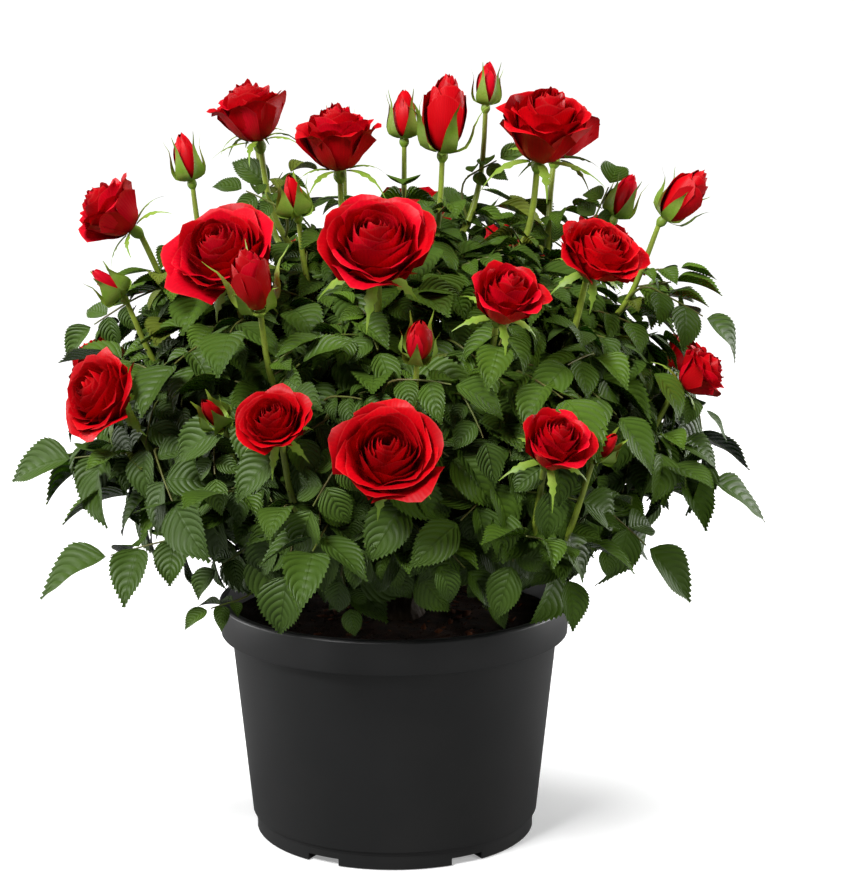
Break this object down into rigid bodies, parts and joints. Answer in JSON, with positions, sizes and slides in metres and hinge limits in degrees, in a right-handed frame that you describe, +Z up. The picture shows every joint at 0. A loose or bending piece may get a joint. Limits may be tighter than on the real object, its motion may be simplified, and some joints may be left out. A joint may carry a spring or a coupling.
{
  "type": "rose bush",
  "caption": "Bushy patio rose with glossy dark green compound leaves and full red blooms and buds, standing in a squat black plastic nursery pot with a deep collar and drain notches",
  "frame": {"origin": "centre of the pot's foot ring, on the plane that the pot stands on, straight below the stock", "axes": "+Z up through the stock to the top of the plant, +X to the right side of the plant seen from the front, +Y to its back"},
  "size_m": [0.4842, 0.4643, 0.501],
  "materials": {
    "plastic": "satin black moulded polypropylene",
    "peat": "dark crumbly peat with bits of bark",
    "bark": "rough grey-brown rose bark",
    "cane": "smooth green cane bark",
    "foliage": "glossy dark green leaves with red blooms"
  },
  "bodies": {
    "root": {"pot": "plastic", "soil": "peat", "stock": "bark", "cane_top": "cane", "cane_upper_front_left": "cane", "cane_upper_front_right": "cane", "cane_upper_right": "cane", "cane_upper_back": "cane", "cane_upper_left": "cane", "cane_lower_left": "cane", "cane_lower_front": "cane", "cane_lower_front_right": "cane", "cane_lower_back_right": "cane", "cane_lower_back": "cane", "cane_lower_back_left": "cane", "foliage_top": "foliage", "foliage_upper_front_left": "foliage", "foliage_upper_front_right": "foliage", "foliage_upper_right": "foliage", "foliage_upper_back": "foliage", "foliage_upper_left": "foliage", "foliage_lower_left": "foliage", "foliage_lower_front": "foliage", "foliage_lower_front_right": "foliage", "foliage_lower_back_right": "foliage", "foliage_lower_back": "foliage", "foliage_lower_back_left": "foliage"}
  },
  "joints": []
}
